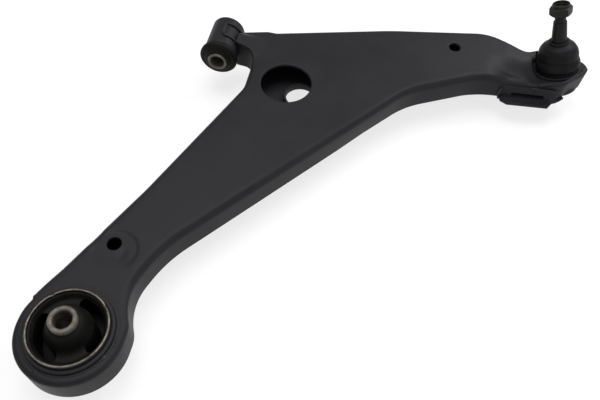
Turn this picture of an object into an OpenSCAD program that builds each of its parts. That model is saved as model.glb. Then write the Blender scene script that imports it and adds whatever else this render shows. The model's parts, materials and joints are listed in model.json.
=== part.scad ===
// Front lower control arm of a car: two pressed shells welded into a box,
// a vertical rear bush, a lying front bush and a ball joint at the outer end.
// +Z runs up the rear bush axis, +Y forward to the front bush, +X outboard.
// The origin is the middle of the rear bush's bore.

/* [Arm shells] */
// Height of the upper shell's flat top above the bush centre
plate_top = 14; // [12:1:16]
// Height of the shell's lower edge above the bush centre
shell_low = -13; // [-15:1:-12]
// Sheet thickness of the upper shell
upper_sheet = 3; // [2.5:0.5:3.5]
// Sheet thickness of the lower shell
lower_sheet = 2.5; // [2:0.5:3]
// Radius of the pressed edge between the top and the side walls
press_radius = 7; // [5:0.5:8]
// Radius of the rounded boss around the rear bush
boss_r = 42; // [41:0.5:44]
// Diameter of the large lightening hole in the top
big_hole_d = 50; // [40:1:52]
// Diameter of the collared hole in the lower shell
low_hole_d = 30; // [24:1:34]
// Diameter of the two locating holes in the top
locating_hole_d = 12; // [8:0.5:14]

/* [Rear bush] */
// Diameter of the bush's outer sleeve
rear_ring_d = 62; // [60:0.5:64]
// Height of the outer sleeve
rear_ring_h = 42; // [40:1:46]
// Outside diameter of the inner sleeve
rear_core_d = 21.5; // [20:0.5:23]
// Bore of both inner sleeves, for M14 bolts
bolt_bore_d = 14.2; // [13:0.1:15]
// Height of the rear inner sleeve
rear_core_h = 70; // [66:1:74]
// Wall of the collar that holds the rear bush
collar_wall = 3.5; // [3:0.5:4]

/* [Front bush] */
// Front bush centre: outboard distance
front_x = 31; // [29:0.5:32]
// Front bush centre: forward distance
front_y = 333.5; // [333:0.5:334]
// Front bush centre: height
front_z = 7; // [6:0.5:8]
// Outside diameter of the welded tube
front_tube_d = 34; // [33:0.5:35]
// Length of the welded tube
front_tube_len = 38; // [36:1:40]
// Outside diameter of the inner sleeve
front_core_d = 20; // [19:0.5:20.5]
// Length of the inner sleeve
front_core_len = 56; // [54:1:60]
// Diameter of the rubber bead on the rear end
front_bead_d = 39; // [37:0.5:40]

/* [Ball joint] */
// Centre of the seat face that carries the ball joint
seat_point = [380.4, 379.2, 6];
// Lean of the ball joint's axis away from vertical, degrees
seat_lean = 22; // [20:1:24]
// Direction of that lean, degrees from outboard towards forward
seat_turn = 142; // [138:1:146]
// Diameter of the ball
ball_d = 25; // [24:0.5:26]
// Largest diameter of the stud's taper
taper_d = 15; // [14.5:0.5:15.5]
// Thread diameter of the stud
thread_d = 12; // [12:0.5:12.5]
// Width across the nut's flats
nut_flats = 19; // [18:0.5:19.5]
// Largest diameter of the dust boot
boot_d = 44; // [43:0.5:45]

/* [Hidden] */

round_fn = 96;
wide = 600;
touch = 0.01;
running_gap = 0.05;

// Corners of the arm in plan, anticlockwise: x, y and the corner's radius.
boss_round = boss_r - 0.3;
rear_corners = [
  [-boss_r, -boss_r, boss_round],
  [boss_r, -boss_r, boss_round]
];
outboard_corners = [
  [boss_r, 12, 24],
  [29.5, 38, 50],
  [46, 84, 120],
  [228, 306, 90],
  [300, 343.5, 90]
];
end_corners = [
  [384, 350, 16],
  [411, 375, 19],
  [404, 404.5, 21],
  [366, 403, 16],
  [349, 393.5, 26],
  [305, 412.5, 46],
  [200, 391.5, 300]
];
front_corners = [
  [45.5, 347.5, 1],
  [45.5, 326, 1],
  [67.5, 323.5, 14],
  [67, 274, 30],
  [13, 137, 200],
  [-38.4, 27.5, 1],
  [-35.2, 22.9, 0.5],
  [-boss_r, 12.4, boss_round - 1.7]
];
arm_corners = concat(rear_corners, outboard_corners, end_corners, front_corners);

big_hole_at = [107, 287];
low_hole_at = [122, 290];
rear_locating_at = [6, 78];
outer_locating_at = [270, 379];

// The top sheet steps down to the tilted ball joint seat here.
seat_start = 353;
lower_end = 330;
seat_rim_high = 25;

strap_y = 340;
strap_w = 17;
tube_from = -15.5;

collar_r = rear_ring_d / 2 + collar_wall;
collar_h = 34;
rear_ring_wall = 2;
front_sleeve_r = front_tube_d / 2 - 3;
front_sleeve_wall = 1.5;

// Heights along the ball joint's axis, from the seat face.
ball_at = -6;
housing_r = 20;
housing_low = -21;
housing_high = 6;
cavity_r = 16;
cavity_low = -19.4;
taper_low = 36;
taper_high = 56;
taper_top_d = taper_d - 2;
stud_end = 72;
nut_low = 62.5;
nut_hex_h = 8.5;
nut_ring_h = 2.8;
boot_high = 34.5;

function unit(v) = v / norm(v);
function left_of(v) = [-v[1], v[0]];
function cross2(a, b) = a[0] * b[1] - a[1] * b[0];

// One corner moved inwards by inset and rounded: an arc tangent to both edges.
function corner_arc(before, corner, after, inset, steps) =
  let (
    here = [corner[0], corner[1]],
    u = unit(here - [before[0], before[1]]),
    v = unit([after[0], after[1]] - here),
    n1 = left_of(u),
    n2 = left_of(v),
    turn = atan2(cross2(u, v), u * v),
    p = here + inset * (n1 + n2) / (1 + n1 * n2),
    r = max(0.3, corner[2] - sign(turn) * inset),
    reach = r * tan(abs(turn) / 2),
    first = p - reach * u,
    centre = first + sign(turn) * r * n1,
    spoke = first - centre
  )
  [for (i = [0 : steps])
    let (a = turn * i / steps)
    centre + [spoke[0] * cos(a) - spoke[1] * sin(a), spoke[0] * sin(a) + spoke[1] * cos(a)]
  ];

// The whole outline, with as many steps at every corner.
function outline(inset) =
  let (count = len(arm_corners))
  [for (i = [0 : count - 1])
    each corner_arc(arm_corners[(i + count - 1) % count], arm_corners[i],
      arm_corners[(i + 1) % count], inset, 7)
  ];

function lifted(points, z) = [for (p = points) [p[0], p[1], z]];

// A closed band through rings of equally many points, the last joined to the first.
module ring_band(rings) {
  count = len(rings[0]);
  total = len(rings);
  faces = [for (k = [0 : total - 1], i = [0 : count - 1])
    let (
      j = (i + 1) % count,
      here = k * count,
      next = (k + 1) % total * count
    )
    each [[here + i, next + i, here + j], [here + j, next + i, next + j]]
  ];
  polyhedron([for (r = rings) each r], faces);
}

module arm_prism(inset, low, high) {
  translate([0, 0, low])
    linear_extrude(high - low)
      polygon(outline(inset));
}

// The pressed outside: upright walls, then a rounded edge into the flat top.
module pressed_body() {
  edge_steps = 4;
  overlap = 1;
  edge_low = plate_top - press_radius;
  edge = [for (i = [0 : edge_steps])
    let (a = 90 * i / edge_steps)
    lifted(outline(press_radius * (1 - cos(a))), edge_low + press_radius * sin(a))
  ];
  inner = [
    lifted(outline(press_radius + overlap), plate_top),
    lifted(outline(press_radius + overlap), edge_low - overlap),
    lifted(outline(0), edge_low - overlap)
  ];
  arm_prism(0, shell_low, edge_low);
  arm_prism(press_radius, edge_low - overlap, plate_top);
  ring_band(concat(edge, inner));
}

module at_seat() {
  translate(seat_point)
    rotate([0, seat_lean, seat_turn])
      children();
}

module at_front_bush() {
  translate([front_x, front_y, front_z])
    rotate([-90, 0, 0])
      children();
}

// Everything under the seat face, lowered by drop, outboard of start.
module under_seat(drop, start) {
  intersection() {
    at_seat()
      translate([-wide / 2, -wide / 2, -wide - drop])
        cube([wide, wide, wide]);
    translate([start, 0, -wide / 2])
      cube([wide, wide, wide]);
  }
}

module inboard_of(start, top) {
  translate([start - wide, -wide / 2, top - wide])
    cube([wide, 2 * wide, wide]);
}

module arm_outside() {
  intersection() {
    pressed_body();
    inboard_of(seat_start, plate_top + 1);
  }
  intersection() {
    arm_prism(0, shell_low, seat_rim_high);
    under_seat(0, seat_start);
  }
}

module arm_inside() {
  start = seat_start - upper_sheet;
  intersection() {
    arm_prism(upper_sheet, shell_low - 1, seat_rim_high);
    inboard_of(start, plate_top - upper_sheet);
  }
  intersection() {
    arm_prism(upper_sheet, shell_low - 1, seat_rim_high);
    under_seat(upper_sheet, start);
  }
}

module round_hole(at, d) {
  translate([at[0], at[1], -wide / 2])
    cylinder(h = wide, d = d, $fn = round_fn);
}

module tube_space() {
  at_front_bush()
    cylinder(h = front_core_len + 4, d = front_tube_d, center = true, $fn = round_fn);
}

module housing_space() {
  at_seat()
    cylinder(h = 60, r = housing_r, center = true, $fn = round_fn);
}

// The strap of the upper shell that lies over the front tube.
module tube_strap() {
  strap_r = front_tube_d / 2;
  translate([front_x, strap_y + strap_w / 2, front_z])
    rotate([90, 0, 0])
      rotate([0, 0, 14])
        rotate_extrude(angle = 68, $fn = round_fn)
          translate([strap_r, 0])
            square([upper_sheet, strap_w]);
}

// Slot in the near wall at the outer end, cut through every sheet there.
module drain_slot() {
  slot_w = 4;
  slot_x = [337, 368];
  end_r = slot_w / 2;
  depth = 32;
  translate([0, 330, -5.4])
    rotate([-90, 0, 0]) {
      for (x = slot_x)
        translate([x, 0, 0])
          cylinder(h = depth, r = end_r, $fn = 32);
      translate([slot_x[0], -end_r, 0])
        cube([slot_x[1] - slot_x[0], slot_w, depth]);
    }
}

module upper_shell() {
  color([0.10, 0.10, 0.11]) {
    difference() {
      arm_outside();
      arm_inside();
      round_hole([0, 0], 2 * collar_r);
      round_hole(big_hole_at, big_hole_d);
      for (at = [rear_locating_at, outer_locating_at])
        translate([at[0], at[1], 0])
          cylinder(h = wide, d = locating_hole_d, $fn = round_fn);
      housing_space();
      tube_space();
      drain_slot();
    }
    tube_strap();
  }
}

// A tray inside the upper shell. It ends at lower_end, short of the ball joint's housing.
module lower_shell() {
  tray_high = 1;
  lip_h = 7;
  lip_r = low_hole_d / 2;
  color([0.09, 0.09, 0.10]) {
    difference() {
      intersection() {
        arm_prism(upper_sheet, shell_low, tray_high);
        inboard_of(lower_end, tray_high + 1);
      }
      arm_prism(upper_sheet + lower_sheet, shell_low + lower_sheet, tray_high + 1);
      round_hole([0, 0], 2 * collar_r);
      round_hole(low_hole_at, low_hole_d + lower_sheet);
    }
    translate([low_hole_at[0], low_hole_at[1], shell_low])
      ring(lip_r, lip_r + lower_sheet, 0, lip_h);
  }
}

// A ring about Z between two radii and two heights.
module ring(inner_r, outer_r, low, high) {
  rotate_extrude($fn = round_fn)
    translate([inner_r, low])
      square([outer_r - inner_r, high - low]);
}

// A ring of round wire or weld about Z.
module round_ring(centre_r, wire_r, z) {
  rotate_extrude($fn = round_fn)
    translate([centre_r, z])
      circle(r = wire_r, $fn = 24);
}

// A straight weld bead from point to point.
module bead(from, to, r) {
  run = to - from;
  translate(from)
    rotate([0, acos(run[2] / norm(run)), atan2(run[1], run[0])])
      cylinder(h = norm(run), r = r, $fn = 24);
}

// Stitches under the arm, where the lower shell's edge meets the upper wall.
module seam_weld() {
  stitch = 34;
  spacing = 52;
  weld_r = 1.8;
  points = outline(upper_sheet);
  count = len(points);
  color([0.16, 0.16, 0.16])
    for (i = [0 : count - 1]) {
      from = points[i];
      to = points[(i + 1) % count];
      run = norm(to - from);
      stitches = floor(run / spacing);
      if (stitches > 0)
        for (k = [0 : stitches - 1]) {
          start = from + unit(to - from) * (run / stitches * (k + 0.5) - stitch / 2);
          end = start + unit(to - from) * stitch;
          bead([start[0], start[1], shell_low], [end[0], end[1], shell_low], weld_r);
        }
    }
}

// Doubler on the near wall below the ball joint, with an outward foot.
module outer_end_bracket() {
  bracket_sheet = 2.5;
  web_top = 3;
  foot = [[324, 347], [326, 339], [333, 335], [376, 339.5], [388, 352], [388, 362], [350, 362]];
  color([0.10, 0.10, 0.11])
    difference() {
      union() {
        intersection() {
          arm_prism(-bracket_sheet, shell_low, web_top);
          translate([324, 320, -50])
            cube([72, 44, 100]);
        }
        translate([0, 0, shell_low])
          linear_extrude(bracket_sheet)
            polygon(foot);
      }
      arm_prism(0, shell_low - 1, web_top + 1);
      housing_space();
      drain_slot();
    }
}

module bracket_weld() {
  weld_r = 1.6;
  color([0.16, 0.16, 0.16]) {
    bead([352, 347.8, 3], [378, 348.9, 3], weld_r);
    bead([324, 343.8, -9], [324, 343.8, 2], weld_r);
  }
}

module rear_bush_collar() {
  color([0.10, 0.10, 0.11])
    ring(rear_ring_d / 2, collar_r, -collar_h / 2, collar_h / 2);
}

module rear_collar_weld() {
  color([0.14, 0.14, 0.14])
    round_ring(collar_r + 0.6, 1.8, plate_top);
}

module rear_bush_outer_sleeve() {
  color([0.55, 0.55, 0.56])
    ring(rear_ring_d / 2 - rear_ring_wall, rear_ring_d / 2, -rear_ring_h / 2, rear_ring_h / 2);
}

// Rubber bonded between the sleeves, with a cone up the inner one and two kidney pockets from the top.
module rear_bush_rubber() {
  core = rear_core_d / 2 + running_gap;
  rim = rear_ring_d / 2 - rear_ring_wall;
  void_r = [18.5, 26];
  pocket_floor = -10;
  pocket_h = 50;
  voids = [[-34, 124], [158, 108]];
  color([0.07, 0.07, 0.07])
    difference() {
      rotate_extrude($fn = round_fn)
        polygon([
          [core, -29], [core + 3, -29], [core + 6, -16], [rim, -16],
          [rim, 15], [core + 8, 15], [core + 3.5, 29], [core, 29]
        ]);
      for (v = voids)
        rotate([0, 0, v[0]])
          rotate_extrude(angle = v[1], $fn = round_fn)
            translate([void_r[0], pocket_floor])
              square([void_r[1] - void_r[0], pocket_h]);
    }
}

module rear_bush_inner_sleeve() {
  color([0.62, 0.62, 0.62])
    ring(bolt_bore_d / 2, rear_core_d / 2, -rear_core_h / 2, rear_core_h / 2);
}

module front_bush_tube() {
  color([0.10, 0.10, 0.11])
    at_front_bush()
      ring(front_sleeve_r, front_tube_d / 2, tube_from, tube_from + front_tube_len);
}

// Beads round the strap that holds the tube.
module front_tube_weld() {
  weld_r = 1.7;
  weld_at = front_tube_d / 2 + 0.7;
  end_turn = 84;
  color([0.16, 0.16, 0.16]) {
    for (y = [strap_y - strap_w / 2, strap_y + strap_w / 2])
      translate([front_x, y, front_z])
        rotate([90, 0, 0])
          rotate([0, 0, 22])
            rotate_extrude(angle = end_turn - 22, $fn = round_fn)
              translate([weld_at, 0])
                circle(r = weld_r, $fn = 24);
    translate([front_x + weld_at * cos(end_turn), strap_y - strap_w / 2, front_z + weld_at * sin(end_turn)])
      rotate([-90, 0, 0])
        cylinder(h = strap_w, r = weld_r, $fn = 24);
  }
}

module front_bush_outer_sleeve() {
  color([0.5, 0.5, 0.5])
    at_front_bush()
      ring(front_sleeve_r - front_sleeve_wall, front_sleeve_r, tube_from - 1, tube_from + front_tube_len + 1);
}

module front_bush_rubber() {
  core = front_core_d / 2 + running_gap;
  skin = front_sleeve_r - front_sleeve_wall;
  bead_r = front_bead_d / 2;
  color([0.07, 0.07, 0.07])
    at_front_bush()
      rotate_extrude($fn = round_fn)
        polygon([
          [core, -26], [core + 4, -26], [bead_r - 1.5, -23.5], [bead_r, -21.5],
          [bead_r, -18.5], [bead_r - 2, tube_from - 1.2], [skin, tube_from - 1.2],
          [skin, 23.6], [skin + 1, 23.6], [core + 1.5, 25.6], [core, 25.6]
        ]);
}

module front_bush_inner_sleeve() {
  color([0.66, 0.66, 0.66])
    at_front_bush()
      ring(bolt_bore_d / 2, front_core_d / 2, -front_core_len / 2, front_core_len / 2);
}

module ball_joint_housing() {
  flange_r = 23.5;
  groove_r = 18.2;
  color([0.12, 0.12, 0.12])
    at_seat()
      rotate_extrude($fn = round_fn)
        polygon([
          [cavity_r, housing_low], [housing_r, housing_low], [housing_r, 0], [flange_r, 0],
          [flange_r, 2.2], [groove_r, 2.2], [groove_r, 4.8], [groove_r + 0.9, 5],
          [groove_r + 0.9, housing_high], [13.6, housing_high], [12, 0], [cavity_r, 0]
        ]);
}

module housing_weld() {
  color([0.16, 0.16, 0.16])
    at_seat()
      round_ring(housing_r + 0.9, 1.5, -upper_sheet);
}

module bearing_seat() {
  color([0.86, 0.85, 0.80])
    at_seat()
      difference() {
        translate([0, 0, -17])
          cylinder(h = 17 - running_gap, r = cavity_r - running_gap, $fn = round_fn);
        translate([0, 0, ball_at])
          sphere(r = ball_d / 2 + running_gap, $fn = round_fn);
      }
}

module preload_spring() {
  color([0.45, 0.45, 0.47])
    at_seat()
      rotate_extrude($fn = round_fn)
        polygon([
          [7.5, -18.1], [cavity_r, cavity_low], [cavity_r, cavity_low + 0.9], [7.5, -17.1]
        ]);
}

module closing_cover() {
  color([0.16, 0.16, 0.16])
    at_seat()
      translate([0, 0, housing_low])
        cylinder(h = cavity_low - housing_low, r = cavity_r, $fn = round_fn);
}

module dust_boot() {
  top_r = taper_d / 2 + running_gap;
  boot_r = boot_d / 2;
  color([0.05, 0.05, 0.05])
    at_seat()
      rotate_extrude($fn = round_fn)
        polygon([
          [18.25, 2.4], [20, 2.6], [20, 5], [boot_r - 0.7, 5.4], [boot_r, 9],
          [boot_r - 0.8, 13], [boot_r - 2.3, 16], [boot_r - 2.2, 20], [boot_r - 2.8, 25],
          [16.8, 28.6], [13, 31], [9.6, 32.4], [9.6, boot_high], [top_r, boot_high],
          [top_r, 31.6], [8.2, 30.4], [11.5, 28.8], [15.2, 26.8], [17.2, 24.4], [17.8, 20],
          [17.6, 16], [19.2, 12.8], [20, 9], [19.5, 6.4], [19.3, 4.8], [18.25, 4.6]
        ]);
}

module boot_clamp_ring() {
  color([0.3, 0.3, 0.3])
    at_seat()
      round_ring(20.9, 0.9, 3.8);
}

module boot_top_ring() {
  color([0.3, 0.3, 0.3])
    at_seat()
      round_ring(10.4, 0.8, 33.4);
}

// Ball, neck, sealing shoulder, taper and thread turned in one piece.
module ball_stud() {
  neck_r = 6.5;
  relief_r = 5;
  color([0.30, 0.31, 0.28])
    at_seat() {
      translate([0, 0, ball_at])
        sphere(d = ball_d, $fn = round_fn);
      rotate_extrude($fn = round_fn)
        polygon([
          [0, ball_at], [neck_r, ball_at], [neck_r, 14], [taper_d / 2, 18], [taper_d / 2, taper_low],
          [taper_top_d / 2, taper_high], [relief_r, taper_high + 1], [relief_r, taper_high + 3],
          [thread_d / 2, taper_high + 4], [thread_d / 2, stud_end - 1],
          [thread_d / 2 - 1, stud_end], [0, stud_end]
        ]);
    }
}

module stud_nut() {
  corner_r = nut_flats / 2 / cos(30);
  nut_ring_r = 8.4;
  bevel = 1.2;
  color([0.20, 0.21, 0.18])
    at_seat()
      translate([0, 0, nut_low])
        difference() {
          union() {
            intersection() {
              cylinder(h = nut_hex_h, r = corner_r, $fn = 6);
              rotate_extrude($fn = round_fn)
                polygon([
                  [0, 0], [nut_flats / 2, 0], [corner_r, bevel], [corner_r, nut_hex_h - bevel],
                  [nut_flats / 2, nut_hex_h], [0, nut_hex_h]
                ]);
            }
            translate([0, 0, nut_hex_h - touch])
              cylinder(h = nut_ring_h, r = nut_ring_r, $fn = round_fn);
          }
          translate([0, 0, -1])
            cylinder(h = nut_hex_h + 2, r = thread_d / 2, $fn = round_fn);
          translate([0, 0, nut_hex_h])
            cylinder(h = 10, r = nut_ring_r - 1.6, $fn = round_fn);
        }
}

upper_shell();
lower_shell();
seam_weld();
outer_end_bracket();
bracket_weld();
rear_bush_collar();
rear_collar_weld();
rear_bush_outer_sleeve();
rear_bush_rubber();
rear_bush_inner_sleeve();
front_bush_tube();
front_tube_weld();
front_bush_outer_sleeve();
front_bush_rubber();
front_bush_inner_sleeve();
ball_joint_housing();
housing_weld();
bearing_seat();
preload_spring();
closing_cover();
boot_clamp_ring();
dust_boot();
boot_top_ring();
ball_stud();
stud_nut();
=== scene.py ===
import json
import math

import bmesh
import bpy
import numpy as np
from mathutils import Matrix, Vector
from mathutils.geometry import delaunay_2d_cdt


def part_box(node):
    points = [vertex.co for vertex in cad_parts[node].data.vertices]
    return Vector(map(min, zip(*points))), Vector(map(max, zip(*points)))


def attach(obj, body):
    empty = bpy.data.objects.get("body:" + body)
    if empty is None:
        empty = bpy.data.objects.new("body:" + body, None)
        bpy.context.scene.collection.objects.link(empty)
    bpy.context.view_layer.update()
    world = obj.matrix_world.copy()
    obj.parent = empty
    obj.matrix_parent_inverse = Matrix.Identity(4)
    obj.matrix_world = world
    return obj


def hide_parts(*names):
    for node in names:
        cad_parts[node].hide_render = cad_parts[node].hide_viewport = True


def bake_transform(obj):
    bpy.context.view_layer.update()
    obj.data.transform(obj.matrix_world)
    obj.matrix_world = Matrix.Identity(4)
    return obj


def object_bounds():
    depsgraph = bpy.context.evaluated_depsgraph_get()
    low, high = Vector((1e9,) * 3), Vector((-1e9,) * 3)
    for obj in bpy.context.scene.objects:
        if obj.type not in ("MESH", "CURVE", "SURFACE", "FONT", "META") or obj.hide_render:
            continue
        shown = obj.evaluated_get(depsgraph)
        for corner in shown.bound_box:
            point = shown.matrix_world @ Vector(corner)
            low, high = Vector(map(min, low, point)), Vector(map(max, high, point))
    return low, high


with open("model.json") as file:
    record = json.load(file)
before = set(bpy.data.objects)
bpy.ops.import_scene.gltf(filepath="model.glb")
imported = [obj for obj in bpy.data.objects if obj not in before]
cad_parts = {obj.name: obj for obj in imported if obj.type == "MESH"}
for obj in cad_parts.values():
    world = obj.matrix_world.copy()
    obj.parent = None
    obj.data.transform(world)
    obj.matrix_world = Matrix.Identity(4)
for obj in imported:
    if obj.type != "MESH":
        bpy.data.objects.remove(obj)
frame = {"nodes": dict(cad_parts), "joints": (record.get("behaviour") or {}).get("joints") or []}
cadLow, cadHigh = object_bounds()
scene = bpy.context.scene
scene.view_settings.view_transform = "Standard"
nodes = frame["nodes"]
mm = 0.001
print("frame loaded")


def boxOf(node):
    low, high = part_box(node)
    return np.array(low) / mm, np.array(high) / mm


def jointOf(name):
    found = next(j for j in frame["joints"] if j["name"] == name)
    axis = np.array(found["axis"], float)
    return axis / np.linalg.norm(axis)


def plug(tree, socket, value):
    if isinstance(value, Val):
        tree.links.new(value.socket, socket)
    else:
        socket.default_value = value


def mathNode(tree, kind, *values):
    node = tree.nodes.new("ShaderNodeMath")
    node.operation = kind
    for place, value in enumerate(values):
        plug(tree, node.inputs[place], value)
    return Val(tree, node.outputs[0])


class Val:
    # A shader socket that does sums: every operator adds one Math node.
    def __init__(self, tree, socket):
        self.tree = tree
        self.socket = socket

    def __add__(self, other):
        return mathNode(self.tree, "ADD", self, other)

    __radd__ = __add__

    def __sub__(self, other):
        return mathNode(self.tree, "SUBTRACT", self, other)

    def __rsub__(self, other):
        return mathNode(self.tree, "SUBTRACT", other, self)

    def __mul__(self, other):
        return mathNode(self.tree, "MULTIPLY", self, other)

    __rmul__ = __mul__


class Finish:
    # One material on Object coordinates, which are metres in the frame.
    def __init__(self, name):
        self.material = bpy.data.materials.new(name)
        self.material.use_nodes = True
        self.tree = self.material.node_tree
        self.tree.nodes.clear()
        self.place = self.add("ShaderNodeTexCoord", out="Object")

    # Adds any node: its settings first, then the values or links of its sockets.
    def add(self, kind, settings=None, values=None, out=0):
        node = self.tree.nodes.new(kind)
        for key, value in (settings or {}).items():
            setattr(node, key, value)
        for key, value in (values or {}).items():
            plug(self.tree, node.inputs[key], value)
        return Val(self.tree, node.outputs[out]) if len(node.outputs) else None

    # Cloudy noise whose patches are about size millimetres across, 0 to 1.
    def noise(self, size, detail=3.0, rough=0.5, squeeze=(1, 1, 1)):
        place = self.add("ShaderNodeMapping", None, {"Vector": self.place, "Scale": squeeze})
        values = {"Vector": place, "Scale": 1 / (size * mm), "Detail": detail, "Roughness": rough}
        return self.add("ShaderNodeTexNoise", None, values, "Fac")

    # Distance to the nearest of scattered points about size millimetres apart, 0 to about 1.
    def cells(self, size):
        values = {"Vector": self.place, "Scale": 1 / (size * mm)}
        return self.add("ShaderNodeTexVoronoi", None, values, "Distance")

    def edges(self):
        return self.add("ShaderNodeNewGeometry", out="Pointiness")

    # 0 below start, 1 above end, smooth between.
    def ease(self, value, start, end):
        values = {"Value": value, "From Min": start, "From Max": end}
        return self.add("ShaderNodeMapRange", {"interpolation_type": "SMOOTHSTEP"}, values)

    def tint(self, first, second, share):
        values = {0: share, 6: first, 7: second}
        return self.add("ShaderNodeMix", {"data_type": "RGBA"}, values, 2)

    def bump(self, height, strength, depth, under=None):
        values = {"Height": height, "Strength": strength, "Distance": depth * mm}
        if under:
            values["Normal"] = under
        return self.add("ShaderNodeBump", None, values)

    def done(self, **values):
        names = {key.replace("_", " "): value for key, value in values.items()}
        surface = self.add("ShaderNodeBsdfPrincipled", None, names)
        self.add("ShaderNodeOutputMaterial", None, {"Surface": surface})
        return self.material


def grey(level, blue=0.0, warm=0.0):
    return (level * (1 + warm), level, level * (1 + blue - warm), 1)


coatLook = {"dark": 0.0125, "light": 0.0205, "edge": 0.035, "roughness": 0.45, "shine": 0.11}


# Black dip coat on pressed sheet: cloudy satin, orange peel, pressing marks, paler worn edges and scuffs.
def coatedSteel():
    f = Finish("coatedSteel")
    cloud = f.noise(38, 4)
    peel = f.noise(1.4, 2)
    press = f.noise(11, 3)
    streak = f.noise(9, 5, 0.6, (1, 0.12, 1))
    scuff = f.ease(streak, 0.64, 0.78) * f.ease(f.noise(60), 0.5, 0.62)
    worn = f.ease(f.edges() + peel * 0.02, 0.54, 0.62)
    dust = f.ease(f.cells(3.4), 0.11, 0.05) * f.ease(f.noise(24), 0.55, 0.7)
    base = f.tint(grey(coatLook["dark"], 0.25), grey(coatLook["light"], 0.05), cloud)
    base = f.tint(base, grey(coatLook["edge"], 0.1), worn * 0.5)
    base = f.tint(base, grey(0.05, 0.05), scuff * 0.28 + dust * 0.35)
    rough = (cloud - 0.5) * 0.16 + (peel - 0.5) * 0.06 + scuff * 0.12 + coatLook["roughness"]
    normal = f.bump(peel, 0.25, 0.08, f.bump(press, 0.3, 0.35))
    return f.done(Base_Color=base, Roughness=rough, Normal=normal, Specular_IOR_Level=coatLook["shine"])


# The same coat over a weld bead: rougher, with fine scale and a few painted glints: spots of bare metal painted
# paler as highlights.
def coatedWeld():
    f = Finish("coatedWeld")
    scale = f.noise(1.1, 4, 0.65)
    cloud = f.noise(9)
    # Painted highlight: paler spots put into the colour as glints.
    paintedGlint = f.ease(f.noise(2.2), 0.66, 0.74)
    base = f.tint(grey(0.010, 0.1), grey(0.019), cloud)
    base = f.tint(base, grey(0.09, 0.05), paintedGlint * 0.5)
    rough = 0.40 + scale * 0.25
    return f.done(Base_Color=base, Roughness=rough, Normal=f.bump(scale, 0.5, 0.25), Specular_IOR_Level=0.2)


sleeveLook = {"steel": (0.17, 0.158, 0.135, 1), "dull": (0.075, 0.068, 0.055, 1), "roughness": 0.42}


# Bare turned steel gone slightly brown, with turning lines and stains. Below bareFrom it is coated black.
def bareSteel(name, steel, dull, roughness, metallic=0.85, bareFrom=None):
    f = Finish(name)
    stain = f.noise(7, 4, 0.6)
    speck = f.ease(f.noise(1.2, 3), 0.58, 0.72)
    lines = f.noise(0.5, 2, 0.5, (0.08, 0.08, 1))
    base = f.tint(steel, dull, f.ease(stain, 0.35, 0.7))
    base = f.tint(base, (0.09, 0.06, 0.035, 1), speck * 0.45)
    rough = roughness + stain * 0.2 + speck * 0.15
    normal = f.bump(lines, 0.25, 0.06, f.bump(stain, 0.2, 0.1))
    if bareFrom is None:
        return f.done(Base_Color=base, Roughness=rough, Normal=normal, Metallic=metallic)
    height = f.add("ShaderNodeSeparateXYZ", None, {"Vector": f.place}, "Z")
    bare = f.ease(height + (stain - 0.5) * 0.6 * mm, (bareFrom - 0.25) * mm, (bareFrom + 0.25) * mm)
    base = f.tint(grey(coatLook["dark"]), base, bare)
    return f.done(Base_Color=base, Roughness=rough, Normal=normal, Metallic=bare * metallic)


# Moulded rubber: matt, warm black, bloom in patches, fine grain and faint mould lines.
def rubber(name, dark, light, roughness, shine):
    f = Finish(name)
    bloom = f.noise(16, 4)
    grain = f.noise(0.7, 2)
    smear = f.noise(5, 3, 0.6, (1, 1, 0.3))
    base = f.tint(dark, light, f.ease(bloom, 0.3, 0.75))
    base = f.tint(base, grey(0.03, 0.0, 0.1), f.ease(smear, 0.62, 0.8) * 0.4)
    rough = roughness + (bloom - 0.5) * 0.2 + (grain - 0.5) * 0.1
    normal = f.bump(grain, 0.3, 0.06, f.bump(bloom, 0.25, 0.5))
    return f.done(Base_Color=base, Roughness=rough, Normal=normal, Specular_IOR_Level=shine)


# Phosphated steel: dark olive grey crystals with rubbed corners.
def phosphate(name, base, rubbed):
    f = Finish(name)
    crystal = f.noise(0.45, 3, 0.7)
    cloud = f.noise(6, 4)
    worn = f.ease(f.edges() + crystal * 0.03, 0.56, 0.66)
    colour = f.tint(base, grey(0.012, -0.1), f.ease(cloud, 0.35, 0.7))
    colour = f.tint(colour, rubbed, worn * 0.7)
    rough = 0.42 + crystal * 0.18 - worn * 0.12
    normal = f.bump(crystal, 0.3, 0.07)
    return f.done(Base_Color=colour, Roughness=rough, Normal=normal, Metallic=0.25, Specular_IOR_Level=0.25)


# Moulded bearing plastic with grease film.
def bearingPlastic():
    f = Finish("bearingPlastic")
    grease = f.noise(5, 3)
    base = f.tint((0.62, 0.58, 0.46, 1), (0.40, 0.34, 0.20, 1), f.ease(grease, 0.4, 0.7))
    return f.done(Base_Color=base, Roughness=0.35 + grease * 0.2, Normal=f.bump(grease, 0.2, 0.1))


coat = coatedSteel()
weldCoat = coatedWeld()
ringSteel = bareSteel("ringSteel", sleeveLook["steel"], sleeveLook["dull"], sleeveLook["roughness"],
                      bareFrom=boxOf("rear_bush_outer_sleeve")[1][2] - 0.8)
coreSteel = bareSteel("coreSteel", (0.17, 0.155, 0.13, 1), (0.10, 0.09, 0.075, 1), 0.5, 0.7)
bushRubber = rubber("bushRubber", grey(0.0035, 0, 0.1), grey(0.0065, 0, 0.1), 0.6, 0.12)
bootRubber = rubber("bootRubber", grey(0.006, 0.1), grey(0.0105, 0.12), 0.5, 0.1)
studSteel = phosphate("studSteel", (0.0085, 0.0092, 0.0062, 1), (0.03, 0.032, 0.022, 1))
nutSteel = phosphate("nutSteel", (0.0105, 0.0112, 0.0065, 1), (0.04, 0.041, 0.028, 1))
springSteel = bareSteel("springSteel", (0.02, 0.02, 0.022, 1), (0.011, 0.011, 0.012, 1), 0.4)
seatPlastic = bearingPlastic()
print("materials made")


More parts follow.
